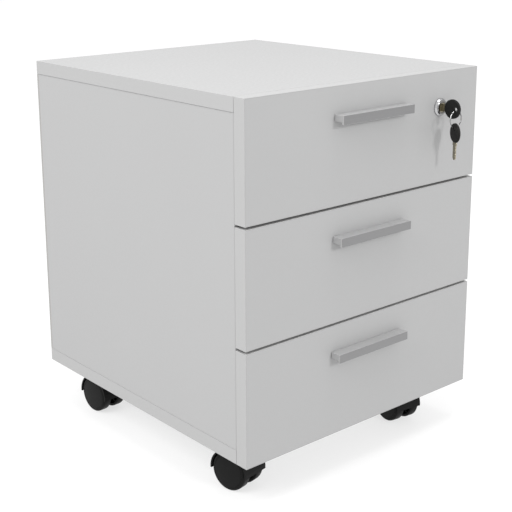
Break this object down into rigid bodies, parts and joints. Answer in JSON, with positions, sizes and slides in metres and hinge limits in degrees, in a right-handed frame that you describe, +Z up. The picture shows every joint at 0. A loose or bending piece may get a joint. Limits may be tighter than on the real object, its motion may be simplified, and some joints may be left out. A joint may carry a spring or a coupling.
{
  "type": "mobile drawer pedestal",
  "caption": "Under-desk pedestal on twin-wheel castors, with stacked drawers, bar handles, a central lock, and a key in it with a spare on a ring.",
  "frame": {"origin": "on the floor, under the middle of the whole object's bounding box", "axes": "+Z up, the drawers open towards -Y, +X to the right of somebody facing the drawers"},
  "size_m": [0.4, 0.4831, 0.5],
  "materials": {
    "melamine": "matt light grey melamine with matching edge banding",
    "hardboard": "grey lacquered hardboard",
    "drawer_board": "grey melamine",
    "drawer_steel": "satin grey powder coat",
    "aluminium": "satin grey anodised",
    "zinc": "bright zinc plate",
    "chrome": "polished chrome plate",
    "nickel": "worn nickel plate over brass",
    "steel": "polished spring steel",
    "axle_steel": "plain steel",
    "plastic": "black moulded plastic"
  },
  "bodies": {
    "cabinet": {"top_panel": "melamine", "bottom_panel": "melamine", "left_side_panel": "melamine", "right_side_panel": "melamine", "back_panel": "hardboard", "bottom_left_cabinet_runner": "drawer_steel", "bottom_right_cabinet_runner": "drawer_steel", "middle_left_cabinet_runner": "drawer_steel", "middle_right_cabinet_runner": "drawer_steel", "top_left_cabinet_runner": "drawer_steel", "top_right_cabinet_runner": "drawer_steel", "castor_front_left_plate": "zinc", "castor_front_right_plate": "zinc", "castor_back_left_plate": "zinc", "castor_back_right_plate": "zinc"},
    "bottom_drawer": {"bottom_drawer_front": "melamine", "bottom_drawer_left_side": "drawer_steel", "bottom_drawer_right_side": "drawer_steel", "bottom_drawer_base": "drawer_board", "bottom_drawer_back": "drawer_board", "bottom_drawer_handle": "aluminium", "bottom_drawer_catch": "zinc"},
    "middle_drawer": {"middle_drawer_front": "melamine", "middle_drawer_left_side": "drawer_steel", "middle_drawer_right_side": "drawer_steel", "middle_drawer_base": "drawer_board", "middle_drawer_back": "drawer_board", "middle_drawer_handle": "aluminium", "middle_drawer_catch": "zinc"},
    "top_drawer": {"top_drawer_front": "melamine", "top_drawer_left_side": "drawer_steel", "top_drawer_right_side": "drawer_steel", "top_drawer_base": "drawer_board", "top_drawer_back": "drawer_board", "top_drawer_handle": "aluminium", "top_drawer_catch": "zinc", "lock_housing": "chrome"},
    "front_left_swivel": {"castor_front_left_hood": "plastic", "castor_front_left_axle": "axle_steel"},
    "front_left_left_wheel": {"castor_front_left_left_wheel": "plastic"},
    "front_left_right_wheel": {"castor_front_left_right_wheel": "plastic"},
    "front_right_swivel": {"castor_front_right_hood": "plastic", "castor_front_right_axle": "axle_steel"},
    "front_right_left_wheel": {"castor_front_right_left_wheel": "plastic"},
    "front_right_right_wheel": {"castor_front_right_right_wheel": "plastic"},
    "back_left_swivel": {"castor_back_left_hood": "plastic", "castor_back_left_axle": "axle_steel"},
    "back_left_left_wheel": {"castor_back_left_left_wheel": "plastic"},
    "back_left_right_wheel": {"castor_back_left_right_wheel": "plastic"},
    "back_right_swivel": {"castor_back_right_hood": "plastic", "castor_back_right_axle": "axle_steel"},
    "back_right_left_wheel": {"castor_back_right_left_wheel": "plastic"},
    "back_right_right_wheel": {"castor_back_right_right_wheel": "plastic"},
    "lock_core": {"lock_plug": "chrome"},
    "lock_bar": {"locking_bar": "zinc"},
    "key": {"key_blade": "nickel", "key_bow": "plastic"},
    "ring": {"key_ring": "steel"},
    "spare_key": {"spare_key_blade": "nickel", "spare_key_bow": "plastic"}
  },
  "joints": [
    {"name": "bottom_drawer_slide", "type": "slide", "parent": "cabinet", "child": "bottom_drawer", "axis": [0, -1, 0], "range_m": [0, 0.3]},
    {"name": "middle_drawer_slide", "type": "slide", "parent": "cabinet", "child": "middle_drawer", "axis": [0, -1, 0], "range_m": [0, 0.3]},
    {"name": "top_drawer_slide", "type": "slide", "parent": "cabinet", "child": "top_drawer", "axis": [0, -1, 0], "range_m": [0, 0.3]},
    {"name": "front_left_castor_swivel", "type": "hinge", "parent": "cabinet", "child": "front_left_swivel", "pos_m": [-0.165, -0.1213, 0.045], "axis": [0, 0, 1], "continuous": true},
    {"name": "front_left_left_wheel_spin", "type": "hinge", "parent": "front_left_swivel", "child": "front_left_left_wheel", "pos_m": [-0.16118, -0.14093, 0.025], "axis": [0.9816, 0.1908, 0], "continuous": true},
    {"name": "front_left_right_wheel_spin", "type": "hinge", "parent": "front_left_swivel", "child": "front_left_right_wheel", "pos_m": [-0.16118, -0.14093, 0.025], "axis": [0.9816, 0.1908, 0], "continuous": true},
    {"name": "front_right_castor_swivel", "type": "hinge", "parent": "cabinet", "child": "front_right_swivel", "pos_m": [0.134, -0.1213, 0.045], "axis": [0, 0, 1], "continuous": true},
    {"name": "front_right_left_wheel_spin", "type": "hinge", "parent": "front_right_swivel", "child": "front_right_left_wheel", "pos_m": [0.13122, -0.1411, 0.025], "axis": [0.9903, -0.1392, 0], "continuous": true},
    {"name": "front_right_right_wheel_spin", "type": "hinge", "parent": "front_right_swivel", "child": "front_right_right_wheel", "pos_m": [0.13122, -0.1411, 0.025], "axis": [0.9903, -0.1392, 0], "continuous": true},
    {"name": "back_left_castor_swivel", "type": "hinge", "parent": "cabinet", "child": "back_left_swivel", "pos_m": [-0.165, 0.1792, 0.045], "axis": [0, 0, 1], "continuous": true},
    {"name": "back_left_left_wheel_spin", "type": "hinge", "parent": "back_left_swivel", "child": "back_left_left_wheel", "pos_m": [-0.16361, 0.15925, 0.025], "axis": [0.9976, 0.0698, 0], "continuous": true},
    {"name": "back_left_right_wheel_spin", "type": "hinge", "parent": "back_left_swivel", "child": "back_left_right_wheel", "pos_m": [-0.16361, 0.15925, 0.025], "axis": [0.9976, 0.0698, 0], "continuous": true},
    {"name": "back_right_castor_swivel", "type": "hinge", "parent": "cabinet", "child": "back_right_swivel", "pos_m": [0.134, 0.1792, 0.045], "axis": [0, 0, 1], "continuous": true},
    {"name": "back_right_left_wheel_spin", "type": "hinge", "parent": "back_right_swivel", "child": "back_right_left_wheel", "pos_m": [0.13226, 0.15928, 0.025], "axis": [0.9962, -0.0872, 0], "continuous": true},
    {"name": "back_right_right_wheel_spin", "type": "hinge", "parent": "back_right_swivel", "child": "back_right_right_wheel", "pos_m": [0.13226, 0.15928, 0.025], "axis": [0.9962, -0.0872, 0], "continuous": true},
    {"name": "lock_turn", "type": "hinge", "parent": "top_drawer", "child": "lock_core", "pos_m": [0.1275, -0.2033, 0.4535], "axis": [0, -1, 0], "range_deg": [0, 90]},
    {"name": "locking_bar_lift", "type": "slide", "parent": "cabinet", "child": "lock_bar", "axis": [0, 0, 1], "range_m": [0, 0.008]},
    {"name": "key_pull", "type": "slide", "parent": "lock_core", "child": "key", "axis": [0, -1, 0], "range_m": [0, 0.028]},
    {"name": "key_ring_swing", "type": "hinge", "parent": "key", "child": "ring", "pos_m": [0.1275, -0.2297, 0.4521], "axis": [1, 0, 0], "range_deg": [-35, 12]},
    {"name": "spare_key_swing", "type": "hinge", "parent": "ring", "child": "spare_key", "pos_m": [0.1275, -0.2297, 0.4305], "axis": [0.9063, -0.4226, 0], "range_deg": [-25, 25]}
  ],
  "couplings": [
    {"joint": "lock_turn", "follows": "locking_bar_lift", "rad_per_m": 196.35}
  ]
}
